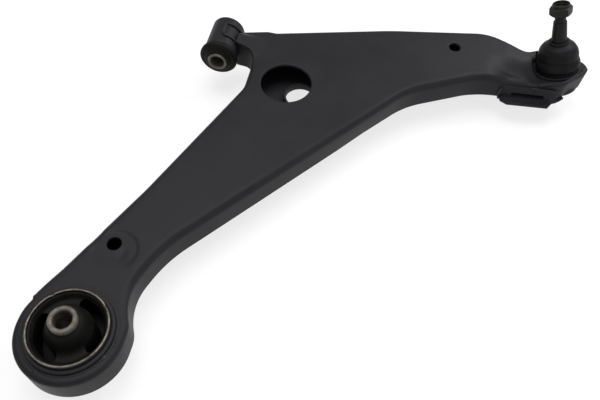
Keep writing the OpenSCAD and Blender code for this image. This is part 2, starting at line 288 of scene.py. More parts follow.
# Quads between neighbouring points of a rows by cols grid, either way wrapped round.
def gridFaces(rows, cols, wrapRows, wrapCols):
    i, j = np.meshgrid(
        np.arange(rows if wrapRows else rows - 1),
        np.arange(cols if wrapCols else cols - 1),
        indexing="ij",
    )
    nextRow, nextCol = (i + 1) % rows, (j + 1) % cols
    quads = [i * cols + j, nextRow * cols + j, nextRow * cols + nextCol, i * cols + nextCol]
    return np.stack(quads, -1).reshape(-1, 4)


class Skin:
    # Patches of one piece's surface in millimetres. They are joined where their points meet.
    def __init__(self):
        self.points = []
        self.faces = []
        self.total = 0

    def patch(self, points, faces):
        self.points.append(points.reshape(-1, 3))
        self.faces += [[k + self.total for k in face] for face in faces]
        self.total += len(self.points[-1])

    def grid(self, points, wrapRows=False, wrapCols=False):
        rows, cols = points.shape[:2]
        self.patch(points, gridFaces(rows, cols, wrapRows, wrapCols).tolist())

    def cap(self, points):
        self.patch(points, [list(range(len(points)))])

    # Closed outlines joined one to the next, with a face over each end.
    def cappedTube(self, outlines):
        self.grid(np.array(outlines), False, True)
        self.cap(outlines[0])
        self.cap(outlines[-1])


def makeObject(name, skin, sharp=38):
    mesh = bpy.data.meshes.new(name)
    mesh.from_pydata((np.concatenate(skin.points) * mm).tolist(), [], skin.faces)
    shape = bmesh.new()
    shape.from_mesh(mesh)
    bmesh.ops.remove_doubles(shape, verts=shape.verts, dist=4e-6)
    bmesh.ops.dissolve_degenerate(shape, edges=shape.edges, dist=1e-6)
    bmesh.ops.recalc_face_normals(shape, faces=shape.faces)
    shape.to_mesh(mesh)
    shape.free()
    thing = bpy.data.objects.new(name, mesh)
    scene.collection.objects.link(thing)
    shadeObject(thing, sharp)
    return thing


def shadeObject(thing, sharp):
    thing.data.shade_smooth()
    thing.data.set_sharp_from_angle(angle=math.radians(sharp))


# Makes several objects one, under the first one's name.
def joinObjects(things):
    shape = bmesh.new()
    for thing in things:
        shape.from_mesh(thing.data)
    whole = bpy.data.meshes.new(things[0].name)
    shape.to_mesh(whole)
    shape.free()
    for thing in things[1:]:
        bpy.data.objects.remove(thing)
    things[0].data = whole
    shadeObject(things[0], 38)
    return things[0]


# Cuts each tool's solid out of a piece, then removes the tools.
def cutAway(thing, tools, sharp=38):
    for tool in tools:
        cut = thing.modifiers.new("cut", "BOOLEAN")
        cut.object = tool
        cut.solver = "EXACT"
    bpy.context.view_layer.update()
    shaped = bpy.data.meshes.new_from_object(thing.evaluated_get(bpy.context.evaluated_depsgraph_get()))
    thing.modifiers.clear()
    thing.data = shaped
    for tool in tools:
        bpy.data.objects.remove(tool)
    shadeObject(thing, sharp)


def paint(thing, look):
    thing.data.materials.clear()
    thing.data.materials.append(look)


def dress(thing, body, look, replaced=()):
    paint(thing, look)
    if body:
        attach(thing, body)
    if replaced:
        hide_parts(*replaced)
    return thing


def dressWeld(name, skin, node):
    dress(makeObject(name, skin, 60), "arm", weldCoat, [node])


# A corner moved inwards by inset and rounded: centre + spoke turned from 0 to the corner's whole turn.
def cornerArc(before, corner, after, inset, steps):
    here = np.array(corner[:2], float)
    u = here - np.array(before[:2], float)
    v = np.array(after[:2], float) - here
    u, v = u / np.linalg.norm(u), v / np.linalg.norm(v)
    left, nextLeft = np.array([-u[1], u[0]]), np.array([-v[1], v[0]])
    turn = math.atan2(u[0] * v[1] - u[1] * v[0], u @ v)
    side = math.copysign(1, turn)
    moved = here + inset * (left + nextLeft) / (1 + left @ nextLeft)
    r = max(0.05, corner[2] - side * inset)
    first = moved - r * math.tan(abs(turn) / 2) * u
    centre = first + side * r * left
    spoke = first - centre
    a = np.linspace(0, turn, steps + 1)[:, None]
    across = np.array([-spoke[1], spoke[0]])
    return centre + spoke * np.cos(a) + across * np.sin(a)


# Corners [x, y, radius] as a smooth line: arcs, with straight runs divided so that no step is over step.
def roundedLine(corners, step, inset=0.0, closed=True):
    count = len(corners)
    inner = range(count) if closed else range(1, count - 1)
    arcs, plain = [], []
    for i in inner:
        before, corner, after = corners[i - 1], corners[i], corners[(i + 1) % count]
        rough = cornerArc(before, corner, after, 0, 8)
        length = np.linalg.norm(np.diff(rough, axis=0), axis=1).sum()
        steps = max(2, math.ceil(length / step))
        arcs.append(cornerArc(before, corner, after, inset, steps))
        plain.append(cornerArc(before, corner, after, 0, steps))
    if not closed:
        ends = [np.array([corners[0][:2]], float), np.array([corners[-1][:2]], float)]
        arcs, plain = [ends[0]] + arcs + [ends[1]], [ends[0]] + plain + [ends[1]]
    line = []
    for k in range(len(arcs) if closed else len(arcs) - 1):
        following = (k + 1) % len(arcs)
        run = np.linalg.norm(plain[following][0] - plain[k][-1])
        share = np.linspace(0, 1, max(1, math.ceil(run / step)) + 1)[1:-1, None]
        line += [arcs[k], arcs[k][-1] + share * (arcs[following][0] - arcs[k][-1])]
    if not closed:
        line.append(arcs[-1])
    return np.concatenate(line)


# Length of a path up to each of its points.
def lengthsAlong(path):
    return np.concatenate([[0], np.cumsum(np.linalg.norm(np.diff(path, axis=0), axis=1))])


# A path's columns at other lengths along it.
def resample(at, gone, path):
    return np.stack([np.interp(at, gone, column) for column in path.T], 1)


# Two directions square to an axis: right lies as near to +X as it can.
def axesOf(axis):
    right = np.array([1.0, 0, 0]) - axis[0] * axis
    right /= np.linalg.norm(right)
    return right, np.cross(axis, right), axis


# A profile of (radius, height) turned about an axis: centre + r cos t right + r sin t ahead + h axis.
# wobble(t, r, h) may return new radii and heights for a shape that isn't quite round.
def turned(skin, profile, centre, axis, turns=128, closed=True, span=(0, 360), wobble=None):
    right, ahead, up = axesOf(np.array(axis, float))
    whole = span[1] - span[0] >= 360
    t = np.radians(np.linspace(span[0], span[1], turns + (0 if whole else 1), endpoint=not whole))[:, None]
    r = np.broadcast_to(profile[:, 0], (len(t), len(profile)))
    h = np.broadcast_to(profile[:, 1], (len(t), len(profile)))
    if wobble:
        r, h = wobble(t, r, h)
    spoke = np.cos(t)[..., None] * right + np.sin(t)[..., None] * ahead
    points = np.array(centre, float) + r[..., None] * spoke + h[..., None] * up
    skin.grid(points, whole, closed)
    if not whole:
        skin.cap(points[0])
        skin.cap(points[-1])
    return skin


# A rippled weld bead along a path: each section is an ellipse in the plane of side and lift,
# swollen at every ripple and shrunk to nothing at both ends.
def weldBead(skin, path, lift, width, height, pitch=2.2, closed=False, seed=0.0):
    step = np.roll(path, -1, 0) - path if closed else np.gradient(path, axis=0)
    along = step / np.linalg.norm(step, axis=1)[:, None]
    gone = lengthsAlong(path)
    side = np.cross(along, lift)
    side /= np.linalg.norm(side, axis=1)[:, None]
    ripple = 1 + 0.10 * np.abs(np.sin(np.pi * gone / pitch)) + 0.08 * np.sin(gone * 0.31 + seed)
    if not closed:
        near = np.minimum(gone, gone[-1] - gone) / (1.4 * width)
        ripple = ripple * np.sqrt(np.clip(1 - (1 - np.clip(near, 0, 1)) ** 2, 0, 1))
    t = np.linspace(0, 2 * math.pi, 14, endpoint=False)[None, :, None]
    out = width * np.cos(t) * side[:, None] + height * np.sin(t) * np.broadcast_to(lift, path.shape)[:, None]
    skin.grid(path[:, None] + ripple[:, None, None] * out, closed, True)


def ease(value, start, end):
    t = np.clip((value - start) / (end - start), 0, 1)
    return t * t * (3 - 2 * t)


ringLow, ringHigh = boxOf("rear_bush_outer_sleeve")
collarLow, collarHigh = boxOf("rear_bush_collar")
tubeLow, tubeHigh = boxOf("front_bush_tube")
shellLow = boxOf("upper_shell")[0]
ringRadius = ringHigh[0]
collarRadius = collarHigh[0]
tubeRadius = (tubeHigh[0] - tubeLow[0]) / 2
frontCentre = (tubeLow + tubeHigh) / 2

sheet = {"top": 14.0, "low": shellLow[2], "thick": 3.0, "lowerThick": 2.5, "bend": 6.0, "fineStep": 2.4}
seat = {"at": (380.4, 379.2, 6.0), "pocket": 25.8, "shoulder": 6.6}
bigHole = {"at": (107, 287), "r": 25.0, "lip": 1.4}
lowHole = {"at": (122, 290), "r": 15.0, "lip": 4.0, "collar": 9.0}
smallHoles = [{"at": (6, 78), "r": 6.0, "lip": 0.7}, {"at": (270, 379), "r": 6.0, "lip": 0.7}]
seatAxis = jointOf("ball_stud_spin")

# Corners of the arm in plan, anticlockwise: x, y and the corner's radius.
armCorners = [
    (-42, -42, 41.7), (42, -42, 41.7), (42, 12, 24), (29.5, 38, 50), (46, 84, 120), (228, 306, 90),
    (300, 343.5, 90), (384, 350, 16), (410.9, 375, 19), (403.9, 404.4, 21), (366, 403, 16), (349, 393.5, 26),
    (305, 412.4, 46), (200, 391.5, 300), (45.5, 347.5, 2.8), (45.5, 326, 2.8), (67.5, 323.5, 14),
    (67, 274, 30), (13, 137, 200), (-39.0, 21.0, 1.0), (-38.3, 18.6, 0.4), (-42, 9.85, 38),
]
edgeRing = roundedLine(armCorners, sheet["fineStep"])
insetRing = roundedLine(armCorners, sheet["fineStep"], 2.0)
inward = (insetRing - edgeRing) / 2.0


# How far each edge point can move inwards: the radius of the largest circle that touches the edge there
# and holds no other edge point, distance squared over twice the inward part of the distance.
def roomInside():
    gap = edgeRing[None] - edgeRing[:, None]
    depth = (gap * inward[:, None]).sum(2)
    radius = (gap**2).sum(2) / np.maximum(2 * depth, 1e-6)
    return np.where(depth > 1e-4, radius, 1e6).min(1)


room = roomInside()


# The edge moved inwards by offset less lean, held back where there is no room for all of it.
def insetPlan(offset, lean=0.0):
    held = offset / (1 + (np.maximum(offset, 0) / room) ** 3) ** (1 / 3)
    return edgeRing + inward * (held - lean)[:, None]


# Height of the seat's tilted plane: its centre's height, falling against the axis's lean.
def seatHeight(x, y):
    lean = seatAxis[:2] / seatAxis[2]
    return seat["at"][2] - lean[0] * (x - seat["at"][0]) - lean[1] * (y - seat["at"][1])


# Top of the plate: flat, then sloping to a low shoulder and a round pocket with the tilted seat,
# climbing onto the front tube, with a shallow dish and a small dent near the rear hole.
def plateHeight(x, y):
    z = sheet["top"] - 2.4 * ease(x, 322, 354) - 5.6 * ease(x, 304, 334) * ease(y, 384, 357)
    z = z + (seat["shoulder"] - z) * ease(x, 316, 338) * ease(y, 358.4, 355.6)
    away = np.hypot(x - seat["at"][0], y - seat["at"][1])
    end = 364 + 22 * ease(y, 380, 392)
    outside = (1 - ease(away, seat["pocket"] + 2.2, seat["pocket"])) * (1 - ease(x - end, 0, 8))
    z = z + (seatHeight(x, y) - z) * (1 - outside)
    z = z + 6.2 * np.clip((80 - x) / 34.5, 0, 1) ** 1.4 * ease(y, 310, 323) * ease(y, 348, 338)
    dish = np.hypot(x - 9, y - 72)
    z = z - 0.7 * (1 - ease(dish, 17.2, 20.0)) * ease(y, 54, 68)
    return z - 0.5 * np.exp(-(((x - 16) / 3.2) ** 2 + ((y - 71) / 5.5) ** 2))


# How far the side wall leans out at its lower edge: a little tucked in along the outboard bend.
def wallFlare():
    knots = [12, 120, 235, 262, 300, 336, 346]
    leans = [0, 0, -0.6, -1.4, -0.8, -0.8, 0]
    outwards = -inward @ np.array([0.7, -0.7])
    return np.interp(edgeRing[:, 1], knots, leans) * ease(outwards, 0.1, 0.6)


# Radius of the pressed edge: wide along the arm, tighter round the boss, the seat and the front tongue.
def bendRadius():
    x, y = edgeRing.T
    tongue = ease(x, 84, 72) * ease(y, 296, 312)
    return sheet["bend"] - 2.2 * ease(y, 52, 30) - 4.2 * ease(x, 346, 358) - 4.6 * tongue


# How much higher the wall's lower edge lies round the outer end.
def skirtRise(x):
    return 7.5 * ease(x, 376, 394)


flare = wallFlare()
bendAt = bendRadius()


def leanAt(z):
    return np.clip((sheet["bend"] - z) / (sheet["bend"] - sheet["low"]), 0, 1) ** 1.6


# True for the points that lie inside a closed line: an odd number of its edges cross to their right.
def insideOf(points, line):
    x, y = points[:, :1], points[:, 1:]
    x1, y1 = line.T
    x2, y2 = np.roll(line, -1, 0).T
    crosses = (y1 > y) != (y2 > y)
    rise = np.where(y2 == y1, 1e-9, y2 - y1)
    return (crosses & (x < x1 + (y - y1) / rise * (x2 - x1))).sum(1) % 2 == 1


# Points of a staggered grid over a window, spacing apart.
def staggered(window, spacing):
    x = np.arange(window[0], window[1], spacing)
    y = np.arange(window[2], window[3], spacing * 0.866)
    gx, gy = np.meshgrid(x, y)
    gx = gx + spacing / 2 * (np.arange(len(y)) % 2)[:, None]
    return np.stack([gx.ravel(), gy.ravel()], 1)


# Triangles over the plan inside ring and outside the holes, with closer points in the fine windows.
def fillPlan(ring, holeRings, fineWindows):
    points = staggered((-45, 412, -45, 415), 5.0)
    for x0, x1, y0, y1, spacing in fineWindows:
        clear = (points[:, 0] < x0) | (points[:, 0] > x1) | (points[:, 1] < y0) | (points[:, 1] > y1)
        points = np.concatenate([points[clear], staggered((x0, x1, y0, y1), spacing)])
    border = np.concatenate([ring] + holeRings)
    points = points[insideOf(points, ring)]
    for hole in holeRings:
        points = points[~insideOf(points, hole)]
    gap = np.linalg.norm(points[:, None] - border[None], axis=2).min(1)
    points = points[gap > 0.9]
    edges, start = [], 0
    for loop in [ring] + holeRings:
        edges += [(start + k, start + (k + 1) % len(loop)) for k in range(len(loop))]
        start += len(loop)
    flat = np.concatenate([border, points])
    made = delaunay_2d_cdt([Vector(p) for p in flat], edges, [], 1, 1e-6)
    where = np.array([tuple(p) for p in made[0]])
    triangles = np.array(made[2])
    middle = where[triangles].mean(1)
    keep = np.ones(len(middle), bool)
    for hole in holeRings:
        keep &= ~insideOf(middle, hole)
    return where, triangles[keep]


# Section of a hole's rim as (radius, depth below the sheet's outer face): rounded over, or drawn into a collar.
def rimSection(hole, thick):
    r, lip, collar = hole["r"], hole["lip"], hole.get("collar", 0)
    a = np.radians(np.linspace(90, 0, 6))
    start = np.stack([r + lip * (1 - np.cos(a)), lip * (1 - np.sin(a))], 1)
    if collar:
        small = lip - thick
        back = np.stack([r + thick + small * (1 - np.cos(a)), thick + small * (1 - np.sin(a))], 1)[::-1]
        tip = np.array([[r, collar - 0.5], [r + 0.5, collar],
                        [r + thick - 0.5, collar], [r + thick, collar - 0.5]])
        return np.concatenate([start, tip, back])
    return np.concatenate([start, [[r, thick - 0.4], [r + 0.4, thick], [r + lip, thick]]])


# A pressed pan: a flat face, a rounded bend, a wall down to its rim, and the same again one sheet inside.
# up is 1 with the flat face on top and -1 with it below.
def pressedPan(skin, flat, up, inset, bend, thick, rim, holes, fineWindows):
    rows = []
    edge = insetPlan(inset + bend)
    face = flat(edge[:, 0], edge[:, 1])
    for depth, order in ((0.0, 1), (thick, -1)):
        radius = np.maximum(bend - depth, 0.4)
        part = []
        for a in np.radians(np.linspace(90, 0, 7)):
            z = face - up * (depth + radius * (1 - math.sin(a)))
            part.append((inset + bend - radius * math.cos(a), z, z + up * depth))
        corner = part[-1][1]
        for share in np.linspace(0, 1, 9)[1:]:
            z = corner + (rim + up * (0.5 if share == 1 else 0) - corner) * share
            part.append((inset + depth + 0 * bend, z, z + up * depth * (1 - share)))
        edgeIn = inset + depth + (0.5 if order > 0 else -0.5)
        part.append((edgeIn + 0 * bend, rim + 0 * bend, rim + 0 * bend))
        rows += part[::order]
    points = []
    for offset, z, leanHeight in rows:
        points.append(np.column_stack([insetPlan(offset, flare * leanAt(leanHeight)), z]))
    skin.grid(np.array(points), False, True)
    holeRings = []
    for hole in holes:
        section = rimSection(hole, thick)
        t = np.linspace(0, 2 * math.pi, max(48, int(hole["r"] * 4)), endpoint=False)
        x = hole["at"][0] + section[:, :1] * np.cos(t)
        y = hole["at"][1] + section[:, :1] * np.sin(t)
        skin.grid(np.stack([x, y, flat(x, y) - up * section[:, 1:]], -1), False, True)
        holeRings.append(np.stack([x[0], y[0]], 1))
    edge = np.array(points[0])[:, :2]
    where, triangles = fillPlan(edge, holeRings, fineWindows)
    for depth in (0, thick):
        z = flat(where[:, 0], where[:, 1]) - up * depth
        skin.patch(np.column_stack([where, z]), triangles.tolist())


# A round-ended slot through the near wall at the outer end: a capsule outline carried forward.
slot = {"x": (337, 368), "z": -5.4, "r": 2.0, "y": (328, 362)}


def slotTool():
    x0, x1 = slot["x"]
    a = np.radians(np.linspace(-90, 90, 13))
    right = np.stack([x1 + slot["r"] * np.cos(a), slot["z"] + slot["r"] * np.sin(a)], 1)
    left = np.stack([x0 - slot["r"] * np.cos(a), slot["z"] - slot["r"] * np.sin(a)], 1)
    outline = np.concatenate([right, left])
    skin = Skin()
    ends = [np.column_stack([outline[:, 0], np.full(len(outline), y), outline[:, 1]]) for y in slot["y"]]
    skin.cappedTube(ends)
    return makeObject("slotTool", skin)


# Rolled rim on the seat's edge: a half-buried bead along the outline, fading out at both ends.
def rolledRim(skin):
    inset = 1.9
    line = edgeRing + inward * inset
    chosen = [k for k in range(len(line)) if 353 < line[k, 0] and line[k, 1] < 392]
    line = line[chosen]
    path = np.column_stack([line, seatHeight(line[:, 0], line[:, 1]) + 0.35])
    along = np.linspace(0, 1, 160)
    gone = lengthsAlong(path)
    path = resample(along * gone[-1], gone, path)
    swell = ease(along, 0, 0.08) * ease(along, 1, 0.72)
    step = np.gradient(path, axis=0)
    side = np.cross(step, seatAxis)
    side /= np.linalg.norm(side, axis=1)[:, None]
    t = np.linspace(0, 2 * math.pi, 16, endpoint=False)[None, :, None]
    out = 2.1 * np.cos(t) * side[:, None] + 1.7 * np.sin(t) * seatAxis
    sunk = path[:, None] - (1 - swell)[:, None, None] * 1.8 * seatAxis
    skin.grid(sunk + swell[:, None, None] * out, False, True)


bossHole = {"at": (0, 0), "r": collarRadius, "lip": 1.8}
windows = [(310, 372, 343, 404, 1.4), (-14, 34, 50, 96, 1.3), (44, 76, 322, 350, 1.3)]
upper = Skin()
upperRim = sheet["low"] + skirtRise(edgeRing[:, 0])
pressedPan(upper, plateHeight, 1, 0.0, bendAt, sheet["thick"], upperRim,
           [bossHole, bigHole] + smallHoles, windows)
upperShell = makeObject("upperShell", upper)
cutAway(upperShell, [slotTool()])
rimSkin = Skin()
rolledRim(rimSkin)
strapSection = roundedLine(
    [(tubeRadius, -8.5, 0.4), (tubeRadius + 2, -8.5, 1.2), (tubeRadius + 2, 8.5, 1.2), (tubeRadius, 8.5, 0.4)], 0.8
)
strap = {"y": 337.0, "from": 38, "to": 84}
strapSkin = Skin()
turned(strapSkin, strapSection, (frontCentre[0], strap["y"], frontCentre[2]), (0, -1, 0), 40,
       span=(-strap["to"], -strap["from"]))
upperParts = [upperShell, makeObject("rimPart", rimSkin), makeObject("strapPart", strapSkin)]
dress(joinObjects(upperParts), "arm", coat, ["upper_shell"])


# Under face of the lower shell, with a long shallow rib along the arm's middle.
def floorHeight(x, y):
    along = (x - 20) * 0.55 + (y - 120) * 0.83
    across = (x - 20) * 0.83 - (y - 120) * 0.55
    rib = ease(np.abs(across), 12, 6) * ease(along, -40, -20) * ease(along, 120, 100)
    return sheet["low"] + 2.0 * rib


lower = Skin()
lowerBend = np.full(len(edgeRing), 3.5)
bossUnder = {"at": (0, 0), "r": collarRadius, "lip": 0.5}
lowerWindows = [(-10, 110, 60, 230, 3.0)]
pressedPan(lower, floorHeight, -1, sheet["thick"] + 0.05, lowerBend, sheet["lowerThick"], 1.0,
           [bossUnder, lowHole], lowerWindows)
lowerShell = makeObject("lowerShell", lower)
endBlock = Skin()
blockX, blockY, blockZ = (330, 430), (320, 430), (-30, 30)
corners = np.array([[[x, y, z] for y, z in ((blockY[0], blockZ[0]), (blockY[1], blockZ[0]),
                     (blockY[1], blockZ[1]), (blockY[0], blockZ[1]))] for x in blockX], float)
endBlock.cappedTube(corners)
cutAway(lowerShell, [makeObject("endTool", endBlock)])
dress(lowerShell, "arm", coat, ["lower_shell"])
print("shells pressed")


# Part of the arm's edge as a path in space: the points from one corner's plan spot to another's.
def edgePath(start, end, offset, z):
    plan = insetPlan(offset, flare * leanAt(z))
    first = int(np.argmin(np.hypot(*(edgeRing - start).T)))
    last = int(np.argmin(np.hypot(*(edgeRing - end).T)))
    order = np.arange(first, last + (len(edgeRing) if last < first else 0) + 1) % len(edgeRing)
    return np.column_stack([plan[order], np.full(len(order), float(z))])


def evenPath(path, step):
    gone = lengthsAlong(path)
    at = np.linspace(0, gone[-1], max(4, math.ceil(gone[-1] / step)))
    return resample(at, gone, path)


seam = {"stitch": 34, "spacing": 56, "width": 1.9, "height": 1.5, "step": 0.8, "from": 10, "spare": 44}
seamSkin = Skin()
up = np.array([0, 0, 1.0])
seamLine = evenPath(edgePath((29.5, 38), (322, 345), sheet["thick"], sheet["low"]), seam["step"])
seamBack = evenPath(edgePath((318, 405), (80, 365), sheet["thick"], sheet["low"]), seam["step"])
seamInner = evenPath(edgePath((73, 250), (-30, 30), sheet["thick"], sheet["low"]), seam["step"])
for line in (seamLine, seamBack, seamInner):
    for start in range(seam["from"], len(line) - seam["spare"], int(seam["spacing"] / seam["step"])):
        part = line[start:start + int(seam["stitch"] / seam["step"])]
        weldBead(seamSkin, part, up, seam["width"], seam["height"], seed=start)
dressWeld("seamWeld", seamSkin, "seam_weld")

# Doubler round the wall under the ball joint. Its foot reaches out to this plan line.
doubler = {"thick": 2.5, "top": 4.6, "edge": 0.16, "endShare": 0.1,
           "foot": [(324, 347), (326, 339), (333, 335), (375, 339), (384, 353)]}


# Distance from each point along its outward direction to a plan line, the furthest crossing.
def reachOut(points, outwards, line):
    best = np.zeros(len(points))
    for a, b in zip(np.array(line[:-1], float), np.array(line[1:], float)):
        run = b - a
        cross = outwards[:, 0] * run[1] - outwards[:, 1] * run[0]
        cross = np.where(np.abs(cross) < 1e-9, 1e-9, cross)
        gap = a - points
        far = (gap[:, 0] * run[1] - gap[:, 1] * run[0]) / cross
        share = (gap[:, 0] * outwards[:, 1] - gap[:, 1] * outwards[:, 0]) / cross
        best = np.maximum(best, np.where((share >= 0) & (share <= 1), far, 0))
    return best


# The doubler's section (outwards, height) keeps its web and stretches its foot to the plan line.
def makeDoubler():
    path = edgePath((324, 345.4), (389, 353.5), 0.0, 0.0)[:, :2]
    outwards = -inward[[int(np.argmin(np.hypot(*(edgeRing - p).T))) for p in path]]
    gone = lengthsAlong(path)
    at = np.linspace(0, gone[-1], 150)
    path, outwards = resample(at, gone, path), resample(at, gone, outwards)
    outwards /= np.linalg.norm(outwards, axis=1)[:, None]
    low, thick = sheet["low"], doubler["thick"]
    web = roundedLine([(0.05, low, 0.3), (12, low, 0.9), (12, low + thick, 0.9), (thick, low + thick, 2.4),
                       (thick, doubler["top"], 1.0), (0.05, doubler["top"], 0.3)], 0.7)
    foot = np.maximum(reachOut(path, outwards, doubler["foot"]), thick + 0.6)
    share = np.clip((web[:, 0] - thick - 2.4) / (12 - thick - 2.4), 0, 1)
    u = np.where(share > 0, thick + 2.4 + share * (foot[:, None] - thick - 2.4), web[:, 0])
    u = np.minimum(u, foot[:, None])
    ends = ease(at, 0, 14) * ease(at, at[-1], at[-1] - 14)
    thin = doubler["edge"] + (1 - doubler["edge"]) * ease(web[:, 1], doubler["top"], low + thick + 2)
    left = doubler["endShare"] + (1 - doubler["endShare"]) * ends[:, None]
    thin = 1 - (1 - thin * left) * (web[:, 1] > low + thick + 0.6)
    u = u * thin
    z = web[:, 1] + skirtRise(path[:, :1]) * (doubler["top"] - web[:, 1]) / (doubler["top"] - low)
    points = np.concatenate([path[:, None] + u[..., None] * outwards[:, None], z[..., None]], -1)
    skin = Skin()
    skin.cappedTube(points)
    return makeObject("outerEndBracket", skin)


bracket = makeDoubler()
cutAway(bracket, [slotTool()])
dress(bracket, "arm", coat, ["outer_end_bracket"])
bracketSkin = Skin()
topBead = evenPath(edgePath((352, 347.6), (378, 349.8), -1.2, doubler["top"]), 0.6)
sideBead = evenPath(np.array([[323.6, 344.6, -10.0], [323.6, 344.6, 1.5]]), 0.6)
weldBead(bracketSkin, topBead, up, 1.0, 0.9)
weldBead(bracketSkin, sideBead, np.array([0, -1.0, 0]), 1.7, 1.5)
dressWeld("bracketWeld", bracketSkin, "bracket_weld")
print("outer end built")


rear = {"wall": 1.5, "nicks": (45, 133), "voids": ((-34, 124), (158, 108)), "voidRadii": (18.5, 26.0),
        "voidFloor": -10.0}
rearCoreHigh = boxOf("rear_bush_inner_sleeve")[1]
coreRadius = rearCoreHigh[0]
boreRadius = 7.1


def rimCorners(inner, outer, low, high, r):
    return roundedLine([(inner, low, r), (outer, low, r), (outer, high, r), (inner, high, r)], 2.5)


# Small dips knocked into the sleeve's upper edge at the nick angles.
def nicked(t, r, h):
    dip = sum(np.exp(-((np.degrees(t) - nick + 180) % 360 - 180) ** 2 / 7) for nick in rear["nicks"])
    return r - 0.35 * dip * (h > 17), h - 0.9 * dip * (h > 17)


dress(makeObject("rearCollar", turned(Skin(), rimCorners(ringRadius, collarRadius, collarLow[2], collarHigh[2], 1.0),
      (0, 0, 0), (0, 0, 1))), "arm", coat, ["rear_bush_collar"])
weldSkin = Skin()
t = np.linspace(0, 2 * math.pi, 420, endpoint=False)
weldRing = (collarRadius + 0.8) * np.stack([np.cos(t), np.sin(t), 0 * t], 1) + [0, 0, sheet["top"] - 1.2]
weldBead(weldSkin, weldRing, up, 1.6, 1.5, 2.4, True)
for x, y in ((36.9, -2.0), (37.6, -5.6), (-13.5, -35.4)):  # spatter
    ball = roundedLine([(0, -0.4, 0), (0.75, -0.4, 0.3), (0.75, 0.45, 0.5), (0, 0.6, 0)], 0.2, closed=False)
    turned(weldSkin, ball, (x, y, sheet["top"]), (0, 0, 1), 14, False)
dressWeld("rearCollarWeld", weldSkin, "rear_collar_weld")
sleeve = rimCorners(ringRadius - rear["wall"], ringRadius, ringLow[2], ringHigh[2], 0.35)
dress(makeObject("rearOuterSleeve", turned(Skin(), sleeve, (0, 0, 0), (0, 0, 1), 240, wobble=nicked)),
      "arm", ringSteel, ["rear_bush_outer_sleeve"])


# The rubber's section: bonded skin inside the outer sleeve, a dished face, and a cone up the inner sleeve.
def rearRubber():
    core, rim = coreRadius + 0.05, ringRadius - rear["wall"]
    section = roundedLine([
        (core, -29, 0.4), (core + 2.5, -29, 1.2), (core + 6, -16, 5), (rim - 5, -17, 2), (rim, -18.5, 0.6),
        (rim, 19.2, 0.5), (rim - 1.6, 18.6, 1.2), (rim - 4, 14.6, 2.5), (core + 8.5, 14.2, 5),
        (core + 2.6, 28.6, 3), (core + 0.6, 30.4, 0.8), (core, 30.4, 0.2),
    ], 1.0)
    thing = makeObject("rearRubber", turned(Skin(), section, (0, 0, 0), (0, 0, 1), 180))
    tools = []
    for start, sweep in rear["voids"]:
        inner, outer = rear["voidRadii"]
        middle, half = (inner + outer) / 2, (outer - inner) / 2
        a = np.radians(np.linspace(start + 8, start + sweep - 8, 60))
        ends = np.radians(np.linspace(0, 180, 13))
        far = middle + half * np.cos(ends)
        turnEnd = half * np.sin(ends) / middle
        loop = np.concatenate([
            np.stack([outer + 0 * a, a], 1), np.stack([far, a[-1] + turnEnd], 1)[1:-1],
            np.stack([inner + 0 * a, a[::-1]], 1), np.stack([far[::-1], a[0] - turnEnd], 1)[1:-1],
        ])
        flat = np.stack([loop[:, 0] * np.cos(loop[:, 1]), loop[:, 0] * np.sin(loop[:, 1])], 1)
        cutter = Skin()
        rings = np.array([np.column_stack([flat, np.full(len(flat), z)]) for z in (rear["voidFloor"], 40.0)])
        cutter.cappedTube(rings)
        tools.append(makeObject("voidTool", cutter))
    cutAway(thing, tools)
    return dress(thing, None, bushRubber, ["rear_bush_rubber"])


# Bakes the piece's transform and works out each point's share of the moving sleeve's motion, 1 at the inner sleeve
# and 0 at the outer one; the shares are not kept.
def bendBetween(thing, axisPoint, axis, inner, outer):
    right, ahead, along = axesOf(np.array(axis, float))
    start = np.array(axisPoint) + right * outer
    tuple(start * mm)
    tuple((start - right * (outer - inner)) * mm)
    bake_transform(thing)
    co = np.zeros(len(thing.data.vertices) * 3, np.float32)
    thing.data.vertices.foreach_get("co", co)
    gap = co.reshape(-1, 3) / mm - np.array(axisPoint)
    radius = np.linalg.norm(gap - np.outer(gap @ along, along), axis=1)
    share = 1 - ease(radius, inner, outer)


bendBetween(rearRubber(), (0, 0, 0), (0, 0, 1), coreRadius + 0.6, ringRadius - 2.6)


# A thick inner sleeve with serrated end faces, chamfered inside and out.
def innerSleeve(name, radius, half, centre, axis, body, node):
    section = roundedLine([
        (boreRadius, -half + 0.9, 0.2), (boreRadius + 0.9, -half, 0.2), (radius - 0.6, -half, 0.2),
        (radius, -half + 0.6, 0.2), (radius, half - 0.6, 0.2), (radius - 0.6, half, 0.2),
        (boreRadius + 0.9, half, 0.2), (boreRadius, half - 0.9, 0.2),
    ], 2.0)

    def serrated(t, r, h):
        on = (np.abs(h) > half - 0.05) & (r > boreRadius + 1) & (r < radius - 0.5)
        return r, h - np.sign(h) * on * 0.12 * (1 + np.sin(t * 60))

    skin = turned(Skin(), section, centre, axis, 240, wobble=serrated)
    dress(makeObject(name, skin), body, coreSteel, [node])


innerSleeve("rearInnerSleeve", coreRadius, rearCoreHigh[2], (0, 0, 0), (0, 0, 1), "rear_sleeve",
            "rear_bush_inner_sleeve")
print("rear bush built")

